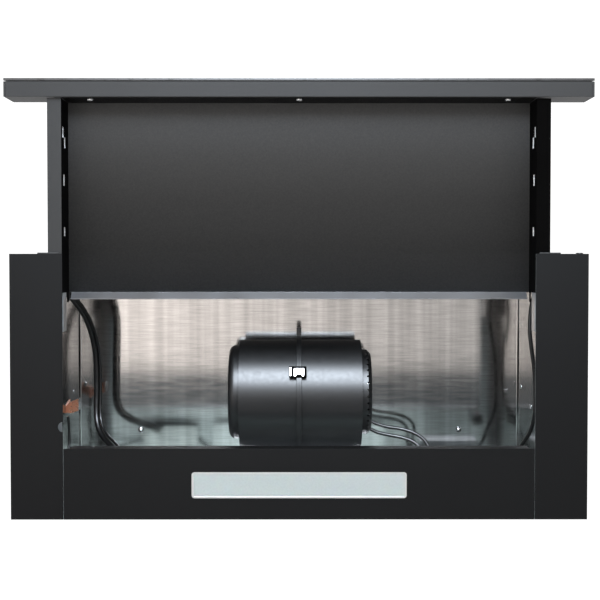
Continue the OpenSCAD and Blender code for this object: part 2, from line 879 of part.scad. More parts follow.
earth_route = [
    [-253.5, 42, 46], [-252.8, 50, 47], [-252.6, 62, 48], [-252.6, 76, 46], [-252.5, 90, 38],
    [-250, 102, 26], [-243, 110, 10], [-232, 112, -10], [-219, 110, -24], [-205.1, 108, -28]
];

// Every lead inside the hood, along its real route
module leads() {
    left_path = smooth(left_route, 3);
    color("#141516") {
        tube(left_path, 3.2);
        tube(beside(left_path, [1, 0, 0], 5.1), 1.6);
        tube(smooth(right_route, 3), 2.2);
        tube(smooth(motor_route_a, 3), 2);
        tube(smooth(motor_route_b, 3), 2);
        tube(smooth(feed_route, 3), 2);
        tube(smooth(earth_route, 3), 1.6);
    }
}

// ---- Fasteners ----

// Dome-head rivet through a side plate, its head inside
module rivet(y, z) {
    rod_x(1.5, wall_x, wall_x + sheet, y, z);
    translate([wall_x, y, z]) intersection() {
        translate([1.6, 0, 0]) sphere(r = 3.2, $fn = 32);
        translate([-4, -4, -4]) cube([4, 8, 8]);
    }
}

module housing_rivets() {
    color("#d8dadc") {
        for (p = rivets_right) rivet(p[0], p[1]);
        on_side(-1) for (p = rivets_left) rivet(p[0], p[1]);
    }
}

module housing_screws() {
    color("#d8dadc") for (p = top_screws) translate([p[0], p[1], ceiling_z]) {
        cylinder(r = 1.5, h = sheet, $fn = 32);
        intersection() {
            translate([0, 0, 1.6]) sphere(r = 3.8, $fn = 32);
            translate([-4, -4, -4]) cube([8, 8, 4]);
        }
    }
}

housing_shell();
housing_rear();
housing_side_left();
housing_side_right();
side_cover_left();
side_cover_right();
rear_cover();
front_rail();
glide_pads();
led_lens();
led_tray();
led_board();
led_driver();
scroll_left();
scroll_right();
scroll_clips();
inlet_ring();
motor_cap();
motor_can();
motor_stator();
motor_bearings();
motor_rotor();
motor_shaft();
impeller_hub();
impeller_left();
impeller_right();
capacitor();
outlet_gasket();
duct_collar();
flap_pin();
flap_front();
flap_rear();
slide_fixed_left();
slide_fixed_right();
slide_cage_left();
slide_cage_right();
slide_moving_left();
slide_moving_right();
fascia_back();
fascia_plate();
fascia_tape();
fascia_caps();
visor_panel();
visor_side_left();
visor_side_right();
fascia_screws();
speed_switch();
speed_rocker();
light_switch();
light_button();
microswitch();
microswitch_button();
terminal_box();
terminal_cover();
mains_gland();
earth_contact();
leads();
housing_rivets();
housing_screws();
collar_screws();
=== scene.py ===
# %% [markdown]
# # A telescopic range hood, finished by hand
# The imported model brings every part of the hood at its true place, so this lesson adds what
# the eye looks for: folded edges that catch the light, moulded rims, curved fan blades, round
# leads, and a finish with its own grain for every surface. Everything is in metres, and the
# hood hangs as it does under its wall cabinet, with the visor pulled out.

# %% Load the fixed frame
import json
import math

import bmesh
import bpy
from mathutils import Matrix, Vector


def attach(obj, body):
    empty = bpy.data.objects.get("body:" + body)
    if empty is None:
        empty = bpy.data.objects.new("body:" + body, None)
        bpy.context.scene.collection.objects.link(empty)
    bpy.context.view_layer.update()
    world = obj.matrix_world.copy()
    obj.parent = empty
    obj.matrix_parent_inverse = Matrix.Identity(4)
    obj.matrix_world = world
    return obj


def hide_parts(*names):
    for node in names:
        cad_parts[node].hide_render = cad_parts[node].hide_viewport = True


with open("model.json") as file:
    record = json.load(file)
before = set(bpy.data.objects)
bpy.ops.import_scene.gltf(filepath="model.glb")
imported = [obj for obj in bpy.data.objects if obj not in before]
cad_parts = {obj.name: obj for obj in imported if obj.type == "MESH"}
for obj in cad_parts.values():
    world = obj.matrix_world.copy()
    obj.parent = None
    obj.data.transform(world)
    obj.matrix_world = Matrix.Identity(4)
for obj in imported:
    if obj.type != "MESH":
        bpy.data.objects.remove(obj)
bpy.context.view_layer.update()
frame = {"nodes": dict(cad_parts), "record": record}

record = frame["record"]
body_of = {node: body for body, nodes in record["behaviour"]["bodies"].items() for node in nodes}

# %% [markdown]
# ## Small helpers
# The parts were measured in millimetres, so the pieces are written in millimetres too, and one
# helper turns them into metres. An operator acts on whatever is selected, so another helper
# first clears the selection and then takes just one piece.

# %% Millimetres, and one piece at a time
def mm(x, y, z):
    return Vector((x, y, z)) / 1000


def clear_selection():
    if bpy.context.object and bpy.context.object.mode != "OBJECT":
        bpy.ops.object.mode_set(mode="OBJECT")
    bpy.ops.object.select_all(action="DESELECT")


def take(piece):
    clear_selection()
    piece.select_set(True)
    bpy.context.view_layer.objects.active = piece


def settle(name, size=(1, 1, 1)):
    """Names the new primitive, sizes it, and puts its place, turn and size into its mesh."""
    piece = bpy.context.object
    piece.name = piece.data.name = name
    piece.scale = size
    bpy.ops.object.transform_apply(location=True, rotation=True, scale=True)
    return piece


def block(name, low, high):
    clear_selection()
    low, high = mm(*low), mm(*high)
    bpy.ops.mesh.primitive_cube_add(size=1, location=(low + high) / 2)
    return settle(name, high - low)


ALONG = {"X": (0, math.pi / 2, 0), "Y": (-math.pi / 2, 0, 0), "Z": (0, 0, 0)}


def rod(name, axis, radius, middle, length, sides=64):
    """A cylinder along an axis, around its middle point."""
    clear_selection()
    bpy.ops.mesh.primitive_cylinder_add(vertices=sides, radius=radius / 1000, depth=length / 1000,
                                        location=mm(*middle), rotation=ALONG[axis])
    return settle(name)


# %% [markdown]
# ## Choosing faces and edges in code
# With a mouse, a face is clicked. Here it is found by its place or by the way that it looks: the
# helper opens edit mode and selects exactly the faces, edges or vertices that pass a test.

# %% Pick by place or normal
def pick(piece, kind, test):
    take(piece)
    bpy.ops.object.mode_set(mode="EDIT")
    bpy.ops.mesh.select_mode(type={"verts": "VERT", "edges": "EDGE", "faces": "FACE"}[kind])
    bpy.ops.mesh.select_all(action="DESELECT")
    mesh = bmesh.from_edit_mesh(piece.data)
    chosen = [part for part in getattr(mesh, kind) if test(part)]
    for part in chosen:
        part.select_set(True)
    mesh.select_flush_mode()
    bmesh.update_edit_mesh(piece.data)
    return len(chosen)


def looks(face, x, y, z):
    return face.normal.dot(Vector((x, y, z))) > 0.9


def middle(edge):
    return (edge.verts[0].co + edge.verts[1].co) * 500


def close_edit():
    bpy.ops.object.mode_set(mode="OBJECT")


# %% [markdown]
# ## Edges that catch the light
# No real edge is perfectly sharp: sheet metal has a bend radius, and a moulding has a soft rim.
# A bevel rounds them, and normals weighted by face area keep the wide faces flat to the eye.
# Both are applied, so the finished mesh holds the shape itself.

# %% Bevel, weigh the normals, cut holes
def apply(piece, modifier):
    take(piece)
    bpy.ops.object.modifier_apply(modifier=modifier.name)


def round_edges(piece, width, segments=3, angle=32):
    bevel = piece.modifiers.new("edges", "BEVEL")
    bevel.width = width / 1000
    bevel.segments = segments
    bevel.limit_method = "ANGLE"
    bevel.angle_limit = math.radians(angle)
    bevel.miter_outer = "MITER_ARC"
    apply(piece, bevel)
    bpy.ops.object.shade_smooth_by_angle(angle=math.radians(38))
    weigh = piece.modifiers.new("flats", "WEIGHTED_NORMAL")
    weigh.keep_sharp = True
    apply(piece, weigh)
    return piece


def join(name, *pieces):
    take(pieces[0])
    for piece in pieces:
        piece.select_set(True)
    bpy.ops.object.join()
    joined = bpy.context.object
    joined.name = joined.data.name = name
    return joined


def cut(piece, *cutters):
    tool = join("cutter", *cutters) if len(cutters) > 1 else cutters[0]
    hole = piece.modifiers.new("hole", "BOOLEAN")
    hole.object = tool
    hole.solver = "EXACT"
    hole.use_self = len(cutters) > 1
    apply(piece, hole)
    bpy.data.objects.remove(tool)


# %% [markdown]
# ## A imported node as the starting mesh
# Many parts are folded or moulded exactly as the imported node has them, down to each hole. For
# those the node's mesh is copied, its loose triangles are merged and its flat areas cleaned, and
# then its edges are rounded. The node itself is never touched. Some pieces wear two finishes, as
# a painted part does where a cut edge stays bare, so a last helper picks faces by a test and
# gives them the second one.

# %% Copy a node and soften it
def copy_of(node, name):
    piece = bpy.data.objects.new(name, frame["nodes"][node].data.copy())
    bpy.context.scene.collection.objects.link(piece)
    piece.data.name = name
    piece.data.materials.clear()
    take(piece)
    bpy.ops.object.mode_set(mode="EDIT")
    bpy.ops.mesh.select_all(action="SELECT")
    bpy.ops.mesh.remove_doubles(threshold=0.00001)
    bpy.ops.mesh.dissolve_limited(angle_limit=math.radians(1))
    bpy.ops.object.mode_set(mode="OBJECT")
    return piece


def softened(node, width, segments=2):
    return round_edges(copy_of(node, node + "_finished"), width, segments)


def place(piece, finish, *nodes):
    """The piece stands for these nodes, rides on their body, and wears the finish."""
    piece.data.materials.clear()
    piece.data.materials.append(finish)
    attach(piece, body_of[nodes[0]])
    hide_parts(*nodes)
    return piece


def refinish(piece, finish, test):
    """Gives a second finish to the faces that pass the test."""
    piece.data.materials.append(finish)
    count = pick(piece, "faces", test)
    piece.active_material_index = len(piece.data.materials) - 1
    bpy.ops.object.material_slot_assign()
    close_edit()
    return count


def at(face):
    return face.calc_center_median() * 1000


# %% [markdown]
# ## Camera and light
# The hood is seen from straight below, as a cook who looks up sees it, with a long lens. A white
# surround gives an even studio light, and three lamps are added to it. The softbox in front only
# shows in reflections, and draws the sheen on the black blower without washing out what lies
# flat. The warm lamp lights a patch of the floor, which the left of the galvanised top mirrors.
# A weak lamp inside the housing lifts the shade between its rear wall and the blower.

# %% Camera
bpy.ops.object.camera_add(location=(-0.00149, -0.12824, -1.1889),
                          rotation=(math.radians(180 - 1.54), math.radians(0.118), 0))
camera = bpy.context.object
camera.name = "view_from_below"
camera.data.sensor_width = 36
camera.data.lens = 67.72
camera.data.shift_y = -0.01377
bpy.context.scene.camera = camera
print("camera", round((camera.location - mm(0, -128, -43)).length, 3), "m below the frame")

# %% Surround and lamps
world = bpy.data.worlds.new("white_surround")
world.use_nodes = True
background = world.node_tree.nodes["Background"]
background.inputs["Color"].default_value = (1, 1, 1, 1)
background.inputs["Strength"].default_value = 1.15
bpy.context.scene.world = world
bpy.context.scene.view_settings.view_transform = "Standard"


def soft_lamp(name, place_at, aim_at, size, power, colour):
    """An area lamp: places in millimetres, sizes in metres, power in watts."""
    bpy.ops.object.light_add(type="AREA", location=mm(*place_at))
    lamp = bpy.context.object
    lamp.name = name
    lamp.rotation_euler = (mm(*aim_at) - mm(*place_at)).to_track_quat("-Z", "Y").to_euler()
    lamp.data.shape = "RECTANGLE"
    lamp.data.size, lamp.data.size_y = size
    lamp.data.energy = power
    lamp.data.color = colour
    lamp.visible_camera = False
    return lamp


FLOOR_Z = -1750

sheen = soft_lamp("front_softbox", (0, -980, -1150), (0, 0, 20), (0.6, 0.8), 82, (0.8, 0.89, 1))
sheen.visible_diffuse = False
floor_wash = soft_lamp("floor_wash", (-1500, -250, -750), (-380, 40, FLOOR_Z), (0.8, 0.8), 20,
                       (1, 0.9, 0.84))
floor_wash.data.spread = math.radians(80)
inner_fill = soft_lamp("inner_fill", (0, 126, 60), (0, 112, -40), (0.5, 0.02), 0.7, (0.9, 1, 1))
inner_fill.visible_glossy = False

# %% [markdown]
# ## Finishes
# Each finish is a Principled shader with its own grain. A noise that reads Object coordinates
# stays fixed to the piece when it moves. Three helpers add it in layers: a slow change of
# colour, a change of roughness, and a fine bump. Stretching the noise along one axis turns specks
# into rolling lines. Values that are the same everywhere stay on the shader's own sockets.

# %% Layers of grain
def wire(finish, source, output, target, socket):
    finish.node_tree.links.new(source.outputs[output], target.inputs[socket])


def new_finish(name, colour, roughness, metallic=0.0, **sockets):
    finish = bpy.data.materials.new(name)
    finish.use_nodes = True
    shader = finish.node_tree.nodes["Principled BSDF"]
    shader.inputs["Base Color"].default_value = (*colour, 1)
    shader.inputs["Roughness"].default_value = roughness
    shader.inputs["Metallic"].default_value = metallic
    for socket, value in sockets.items():
        shader.inputs[socket.replace("_", " ")].default_value = value
    return finish


def noise(finish, scale, detail=2.0):
    """Noise on Object coordinates; scale is how often it repeats per metre along X, Y and Z."""
    nodes = finish.node_tree.nodes
    places = nodes.new("ShaderNodeTexCoord")
    mapping = nodes.new("ShaderNodeMapping")
    mapping.inputs["Scale"].default_value = scale
    texture = nodes.new("ShaderNodeTexNoise")
    texture.inputs["Scale"].default_value = 1
    texture.inputs["Detail"].default_value = detail
    wire(finish, places, "Object", mapping, "Vector")
    wire(finish, mapping, "Vector", texture, "Vector")
    return texture


def ranged(finish, texture, low, high, start=0.3, end=0.7):
    spread = finish.node_tree.nodes.new("ShaderNodeMapRange")
    spread.inputs["From Min"].default_value = start
    spread.inputs["From Max"].default_value = end
    spread.inputs["To Min"].default_value = low
    spread.inputs["To Max"].default_value = high
    wire(finish, texture, "Fac", spread, "Value")
    return spread


def tint(finish, scale, dark, light, detail=2.0):
    """Changes the colour slowly between two shades."""
    texture = noise(finish, scale, detail)
    ramp = finish.node_tree.nodes.new("ShaderNodeValToRGB")
    ramp.color_ramp.elements[0].position = 0.32
    ramp.color_ramp.elements[0].color = (*dark, 1)
    ramp.color_ramp.elements[1].position = 0.68
    ramp.color_ramp.elements[1].color = (*light, 1)
    wire(finish, texture, "Fac", ramp, "Fac")
    wire(finish, ramp, "Color", finish.node_tree.nodes["Principled BSDF"], "Base Color")


def sheen_grain(finish, scale, low, high):
    """Changes the roughness between two values."""
    spread = ranged(finish, noise(finish, scale), low, high)
    wire(finish, spread, "Result", finish.node_tree.nodes["Principled BSDF"], "Roughness")


def relief(finish, scale, height, detail=2.0):
    """A fine bump, its height in millimetres."""
    bump = finish.node_tree.nodes.new("ShaderNodeBump")
    bump.inputs["Strength"].default_value = 1
    bump.inputs["Distance"].default_value = height / 1000
    wire(finish, noise(finish, scale, detail), "Fac", bump, "Height")
    wire(finish, bump, "Normal", finish.node_tree.nodes["Principled BSDF"], "Normal")


# %% [markdown]
# ## Galvanised sheet
# The housing is bare zinc-coated steel. It works as a soft mirror, with fine lines that the rolls
# leave along its width, and faint bands across them where the coating is a little thicker. Two
# stretched noises are multiplied for the colour. A third, stretched the same way as the lines,
# drives a very low bump, which breaks up the reflections as real rolling marks do.

# %% Galvanised finish
def galvanised_finish():
    finish = new_finish("galvanised", (0.44, 0.432, 0.425), 0.1, metallic=1.0)
    shader = finish.node_tree.nodes["Principled BSDF"]
    bands = ranged(finish, noise(finish, (130, 3, 3), 1), 0.84, 1.1)
    lines = ranged(finish, noise(finish, (45, 900, 900), 1), 0.86, 1.1)
    product = finish.node_tree.nodes.new("ShaderNodeMath")
    product.operation = "MULTIPLY"
    wire(finish, bands, "Result", product, 0)
    wire(finish, lines, "Result", product, 1)
    colour = finish.node_tree.nodes.new("ShaderNodeVectorMath")
    colour.operation = "SCALE"
    colour.inputs[0].default_value = (0.44, 0.432, 0.425)
    wire(finish, product, 0, colour, "Scale")
    wire(finish, colour, "Vector", shader, "Base Color")
    sheen_grain(finish, (30, 240, 240), 0.07, 0.12)
    relief(finish, (20, 500, 500), 0.0007)
    return finish


galvanised = galvanised_finish()

# %% [markdown]
# ## Paint on the frame and the visor
# The frame is powder-coated in a satin black and the visor in a duller dark grey. Powder coat
# shows a fine orange-peel texture when light grazes it, which a small, dense bump gives. The
# visor's rear lip is smooth and shines like metal. The channel behind the front plate is a plain
# dark grey. The back coat is a pale one for inner faces, which only show as reflections in the
# sheet.

# %% Painted finishes
black_paint = new_finish("black_paint", (0.005, 0.005, 0.0052), 0.5, Specular_IOR_Level=0.15)
tint(black_paint, (9, 9, 9), (0.0045, 0.0045, 0.0047), (0.0056, 0.0056, 0.0058))
sheen_grain(black_paint, (900, 900, 900), 0.44, 0.58)
relief(black_paint, (1100, 1100, 1100), 0.01)

back_coat = new_finish("back_coat", (0.5, 0.56, 0.57), 0.5, Specular_IOR_Level=0.4)
tint(back_coat, (20, 20, 20), (0.47, 0.53, 0.54), (0.53, 0.59, 0.6))
sheen_grain(back_coat, (400, 400, 400), 0.45, 0.6)
relief(back_coat, (900, 900, 900), 0.01)

visor_paint = new_finish("visor_paint", (0.068, 0.068, 0.068), 0.6, Specular_IOR_Level=0.3)
tint(visor_paint, (620, 620, 620), (0.06, 0.06, 0.0615), (0.076, 0.0755, 0.075), 4)
sheen_grain(visor_paint, (500, 500, 500), 0.52, 0.68)
relief(visor_paint, (800, 800, 800), 0.02)

channel_paint = new_finish("channel_paint", (0.058, 0.059, 0.06), 0.6, Specular_IOR_Level=0.2)
tint(channel_paint, (5, 3, 5), (0.054, 0.055, 0.056), (0.062, 0.063, 0.065))
sheen_grain(channel_paint, (700, 700, 700), 0.54, 0.66)
relief(channel_paint, (900, 900, 900), 0.01)

lip_paint = new_finish("lip_paint", (0.18, 0.18, 0.182), 0.3, metallic=1.0)
tint(lip_paint, (9, 2, 2), (0.16, 0.16, 0.164), (0.2, 0.2, 0.204), 1)
sheen_grain(lip_paint, (30, 30, 30), 0.27, 0.33)
relief(lip_paint, (300, 300, 300), 0.0004)

# %% [markdown]
# ## Plastics, glass and small metals
# The blower is moulded in a black plastic with a satin skin. Its gloss is a soft one, so a lamp
# shows as a broad band. Smaller parts get plain moulding grain, each in its own colour. The dull
# black has an index of refraction close to that of air, so it mirrors almost nothing. The lens
# is milky, so light goes a little way in before it comes back, which is what Subsurface does.

# %% Other finishes
blower_plastic = new_finish("blower_plastic", (0.012, 0.0125, 0.014), 0.42, Specular_IOR_Level=0.5)
tint(blower_plastic, (16, 16, 16), (0.0105, 0.011, 0.0125), (0.0135, 0.014, 0.0155), 2)
sheen_grain(blower_plastic, (260, 260, 260), 0.38, 0.43)
relief(blower_plastic, (700, 700, 700), 0.003, 2)


def moulded(name, colour, roughness=0.45, grain=600, height=0.012, **sockets):
    finish = new_finish(name, colour, roughness, **sockets)
    tint(finish, (40, 40, 40), [c * 0.95 for c in colour], [min(1, c * 1.04) for c in colour])
    sheen_grain(finish, (grain, grain, grain), roughness - 0.06, roughness + 0.06)
    relief(finish, (grain, grain, grain), height)
    return finish


trim_plastic = moulded("trim_plastic", (0.03, 0.03, 0.031))
wheel_plastic = moulded("wheel_plastic", (0.02, 0.02, 0.021), 0.5)
key_plastic = moulded("key_plastic", (0.045, 0.045, 0.047), 0.4)
box_plastic = moulded("box_plastic", (0.36, 0.4, 0.4), 0.5)
red_plastic = moulded("red_plastic", (0.45, 0.03, 0.02), 0.4)
white_plastic = moulded("white_plastic", (0.78, 0.78, 0.75), 0.5)
dull_black = moulded("dull_black", (0.006, 0.006, 0.0063), 0.85, 900, 0.01, IOR=1.03)
foam = moulded("foam", (0.02, 0.02, 0.021), 0.85, 1500, 0.2)
front_glass = moulded("front_glass", (0.055, 0.056, 0.058), 0.16, 90, 0.002, Coat_Weight=0.6)
glass_edge = moulded("glass_edge", (0.09, 0.09, 0.094), 0.3, 90, 0.002)
lens_rim = moulded("lens_rim", (0.93, 0.94, 0.95), 0.35, 900, 0.002)
lead_sheath = moulded("lead_sheath", (0.007, 0.007, 0.0075), 0.34, 300, 0.01)
lens_glass = new_finish("lens_glass", (0.88, 0.89, 0.9), 0.45, Subsurface_Weight=0.3,
                        Subsurface_Scale=0.004)
tint(lens_glass, (500, 500, 500), (0.86, 0.87, 0.88), (0.9, 0.91, 0.92))
sheen_grain(lens_glass, (900, 900, 900), 0.4, 0.5)
relief(lens_glass, (1500, 1500, 1500), 0.004)

zinc_steel = moulded("zinc_steel", (0.55, 0.56, 0.57), 0.34, 500, 0.01, metallic=1.0)
bright_steel = moulded("bright_steel", (0.74, 0.75, 0.76), 0.2, 400, 0.006, metallic=1.0)
laminations = moulded("laminations", (0.18, 0.17, 0.16), 0.5, 300, 0.02, metallic=0.8)
clip_metal = moulded("clip_metal", (0.86, 0.86, 0.85), 0.3, 400, 0.004, metallic=0.5)
copper = moulded("copper", (0.86, 0.4, 0.26), 0.3, 250, 0.03, metallic=0.75)
relief(copper, (160, 160, 160), 0.25, 3)
print(len(bpy.data.materials), "finishes")

# %% [markdown]
# ## Floor and dark card
# The pale floor lies far under the hood, and is what the galvanised sheet mirrors. It is one
# sheet with a very faint mottle. The card lies just above it, where only reflections see it, and
# gives the galvanised top its dark rear half. Neither is part of the hood, so both are stage.

# %% Stage
def stage_sheet(name, middle_at, width, depth, finish):
    clear_selection()
    bpy.ops.mesh.primitive_plane_add(size=1, location=mm(*middle_at))
    sheet = settle(name, (width, depth, 1))
    sheet.data.materials.append(finish)
    return sheet


floor_paint = moulded("floor_paint", (0.5, 0.5, 0.495), 0.7, 300, 0.002)
card_paint = moulded("card_paint", (0.05, 0.062, 0.07), 0.8, 300, 0.002)
stage_sheet("floor", (0, 0, FLOOR_Z), 12, 12, floor_paint)
card = stage_sheet("dark_card", (0, 515, FLOOR_Z + 8), 2, 0.66, card_paint)
card.visible_camera = False
card.visible_shadow = False

# %% [markdown]
# ## The housing
# The housing is folded from galvanised sheet: a top that turns down into the front wall, a rear
# wall, and two side plates. The top is made here the way a press brake makes it: a box at full
# size, from which only the top and the front face are kept, a bevel on the fold, and Solidify for
# the gauge of the sheet. Then the holes are cut for the duct, the mains gland and the screws.

# %% Top and front wall
HALF_WIDTH, FRONT_Y, TOP_Z = 257.2, -116, 135.8


def top_sheet():
    piece = block("housing_top_sheet", (-HALF_WIDTH, FRONT_Y, 0.8), (HALF_WIDTH, 135, TOP_Z))
    pick(piece, "faces", lambda f: not (looks(f, 0, 0, 1) or looks(f, 0, -1, 0)))
    bpy.ops.mesh.delete(type="FACE")
    pick(piece, "edges", lambda e: middle(e).z > 135 and middle(e).y < -115)
    bpy.ops.mesh.bevel(offset=0.0014, segments=3, affect="EDGES")
    close_edit()
    gauge = piece.modifiers.new("gauge", "SOLIDIFY")
    gauge.thickness = 0.0008
    gauge.offset = -1
    gauge.use_even_offset = True
    apply(piece, gauge)
    cut(piece, rod("a", "Z", 56, (0, 28, 135.4), 6, 96), rod("b", "Z", 8.1, (205, 108, 135.4), 6))
    for x in (-186, 188):
        cut(piece, rod("c", "Z", 1.55, (x, 69.5, 135.4), 6, 24))
    return round_edges(piece, 0.15, 1)


def is_under_fold(edge):
    """The inside of a side plate's top fold has a radius of 2 mm: a dark and a light line."""
    return abs(abs(middle(edge).x) - HALF_WIDTH) < 0.05 and abs(middle(edge).z - 134.2) < 0.05


def side_plate(node):
    piece = copy_of(node, node + "_finished")
    pick(piece, "edges", is_under_fold)
    bpy.ops.mesh.bevel(offset=0.002, segments=4, affect="EDGES")
    close_edit()
    return round_edges(piece, 0.25, 2)


place(top_sheet(), galvanised, "housing_shell")
place(softened("housing_rear", 0.25), galvanised, "housing_rear")
for node in ("housing_side_left", "housing_side_right"):
    place(side_plate(node), galvanised, node)

# %% [markdown]
# ## Rivets, screws and slides
# Rivet and screw heads are domes a few millimetres wide, and the slides are rolled steel with
# balls between them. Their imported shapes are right, so they are softened a little, which is
# enough to give each head its own bright point.

# %% Small steel parts
for node in ("housing_rivets", "housing_screws", "collar_screws"):
    place(softened(node, 0.3), bright_steel, node)
for side in ("left", "right"):
    for member in ("fixed", "moving", "cage"):
        node = f"slide_{member}_{side}"
        place(softened(node, 0.2 if member != "cage" else 0.08), zinc_steel, node)

# %% [markdown]
# ## The painted frame
# Two side covers, the rear strip and a rail across the front make the frame. They are folded
# boxes, so a slightly larger radius than the sheet's own gauge shows along every fold as a thin
# light line. The faces that look into the hood get the pale back coat.

# %% Side covers, rear strip, rail and glide pads
def is_inside(face):
    """Whether a face of a frame piece looks into the hood."""
    x, y, z = at(face)
    front = 64 if abs(x) < 241 else -135
    return abs(x) < 294.4 and front < y < 135.4 and -39.5 < z < -0.5


for node in ("side_cover_left", "side_cover_right", "rear_cover", "front_rail"):
    cover = place(softened(node, 0.3, 3), black_paint, node)
    if node != "front_rail":
        print(node, refinish(cover, back_coat, is_inside), "inside faces")
place(softened("glide_pads", 0.35), trim_plastic, "glide_pads")

# %% [markdown]
# ## The visor
# The visor is a drawer without a floor: a front fascia, a top panel and two side channels. The
# top panel ends in a folded lip that shines more than the panel, so the copy is cut in two with
# bisect, and each half gets its own finish. The channels' walls stand in shade and are a dull
# black. Slots are punched in them, and the cut edge of the sheet shines in each, so the small
# faces near a slot's place get bright steel.

# %% Top panel and lip
PANEL_END = -96.1


def part_of_panel(name, keep_rear):
    piece = copy_of("visor_panel", name)
    take(piece)
    bpy.ops.object.mode_set(mode="EDIT")
    bpy.ops.mesh.select_all(action="SELECT")
    bpy.ops.mesh.bisect(plane_co=mm(0, PANEL_END, 0), plane_no=(0, 1, 0), use_fill=True,
                        clear_inner=keep_rear, clear_outer=not keep_rear)
    close_edit()
    return round_edges(piece, 0.25, 2)


panel = place(part_of_panel("visor_top_panel", False), visor_paint, "visor_panel")
# Painted shade: the front flange is a fold of the same grey sheet, and its faces get the black paint
# so that the crease behind the fascia looks darker.
refinish(panel, black_paint, lambda f: at(f).y < -293 and at(f).z < -3)
place(part_of_panel("visor_rear_lip", True), lip_paint, "visor_panel")

# %% Side channels
# Each slot: where it starts and ends along Y, and its height.
SLOTS = ((-266, -255, -29), (-256, -245, -20.5), (-217.5, -206, -25), (-163.5, -154.5, -23))


def in_slot(face):
    x, y, z = at(face)
    return face.calc_area() < 3e-5 and abs(x) < 243.2 and any(
        y0 - 0.5 < y < y1 + 0.5 and abs(z - zm) < 3 for y0, y1, zm in SLOTS)


# Painted light and shade: both channels are the same black paint, but the left one's underside gets
# the lighter channel paint and the right one's keeps the dull black.
for side, under in (("left", channel_paint), ("right", dull_black)):
    node = "visor_side_" + side
    channel = place(softened(node, 0.12), dull_black, node)
    refinish(channel, under, lambda f: at(f).z < -37 and f.normal.z < -0.5)
    print(node, refinish(channel, bright_steel, in_slot), "cut faces in the slots")

# %% Fascia
place(softened("fascia_back", 0.5, 3), channel_paint, "fascia_back")
plate = place(softened("fascia_plate", 0.4, 3), front_glass, "fascia_plate")
refinish(plate, glass_edge, lambda f: f.normal.z < -0.5)
place(softened("fascia_caps", 0.5, 3), channel_paint, "fascia_caps")
place(softened("fascia_tape", 0.1, 1), foam, "fascia_tape")

# %% [markdown]
# ## Screws with a cross recess
# Three pan-head screws hold the fascia to the visor. A head is turned from a cylinder: its
# outer edge gets a round bevel, and a cross of two small blocks is cut into it. The same steps
# make all three, each at its own place.

# %% Fascia screws
def pan_head(name, x, z=-31):
    head = rod(name, "Y", 3.6, (x, -292.9, z), 2, 40)
    pick(head, "faces", lambda f: looks(f, 0, 1, 0))
    bpy.ops.mesh.bevel(offset=0.0011, segments=4, affect="EDGES")
    close_edit()
    for tall, wide in ((1.9, 0.35), (0.35, 1.9)):
        cut(head, block("slot", (x - wide, -292.8, z - tall), (x + wide, -291.5, z + tall)))
    shank = rod("shank", "Y", 1.75, (x, -294.2, z), 1, 24)
    return join(name, head, shank)


heads = [pan_head(f"screw_{i}", x) for i, x in enumerate((-213.5, 0, 213.5))]
place(join("fascia_pan_heads", *heads), bright_steel, "fascia_screws")

# %% [markdown]
# ## The lamp
# A frosted strip lens is let into the rear strip. It starts as a plate with rounded corners, made
# from a box whose upright edges are bevelled. Insetting the lower face and pushing it in a little
# leaves the raised rim that shows as a brighter outline.

# %% Lens, tray and board
LENS_Y = 100.7


def corner_plate(name, long, wide, radius, low, high):
    piece = block(name, (-long / 2, LENS_Y - wide / 2, low), (long / 2, LENS_Y + wide / 2, high))
    pick(piece, "edges", lambda e: abs(e.verts[0].co.z - e.verts[1].co.z) > 0.0001)
    bpy.ops.mesh.bevel(offset=radius / 1000, segments=7, affect="EDGES")
    close_edit()
    return piece


def lamp_lens():
    face = corner_plate("lens", 220, 26.6, 3, -40, -39.2)
    pick(face, "faces", lambda f: looks(f, 0, 0, -1))
    bpy.ops.mesh.inset(thickness=0.0014, depth=0)
    bpy.ops.mesh.inset(thickness=0.0006, depth=-0.0004)
    close_edit()
    round_edges(face, 0.12, 2)
    flange = corner_plate("flange", 226, 30.6, 4, -39.2, -38)
    return join("lamp_lens", face, flange)


lens = place(lamp_lens(), lens_glass, "led_lens")


def on_rim(face):
    x, y, z = at(face)
    return z < -39.4 and (abs(x) > 108.1 or abs(y - LENS_Y) > 11.4)


print(refinish(lens, lens_rim, on_rim), "rim faces")
place(softened("led_tray", 0.4), back_coat, "led_tray")
place(softened("led_board", 0.1, 1), white_plastic, "led_board")
place(softened("led_driver", 1.2, 3), box_plastic, "led_driver")

# %% [markdown]
# ## The blower's scroll
# The scroll is moulded in two halves that meet at a flange in the middle. Its outline grows from
# the tongue to the outlet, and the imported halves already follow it, so they are softened: the
# rims get the larger radius of a moulding, which draws the thin bright line around each end.

# %% Scroll halves and clips
for side in ("left", "right"):
    place(softened(f"scroll_{side}", 0.9, 3), blower_plastic, f"scroll_{side}")

# %% [markdown]
# ## Clips on the flange
# A clip is a dull black frame that slides over the flange, with a bright spring plate and a
# locking bar in front. The plate is a block with one inset end, to which two small feet and the
# bar are joined, and the whole clip is then tilted to sit square on the curve of the scroll. The
# rear clip is a plain folded one.

# %% Low clip and rear clip
def tilted(piece):
    """From a place under the axis, along the scroll to the clip's own place."""
    turn = Matrix.Rotation(math.radians(-25.9), 4, "X")
    centre = Matrix.Translation(mm(0, 17, 66))
    piece.data.transform(centre @ turn @ Matrix.Translation(mm(0, 0, -63)))
    return piece


def low_clip():
    frame_part = block("clip_frame", (-10.4, -6.4, -0.9), (7.9, 6.4, 0.6))
    round_edges(frame_part, 0.4, 3)
    jaws = [block("jaw", (x0, -6.2, 0.5), (x1, 6.2, 4.4)) for x0, x1 in ((-4.3, -2.9), (2.9, 4.3))]
    return tilted(join("low_clip_frame", frame_part, *jaws))


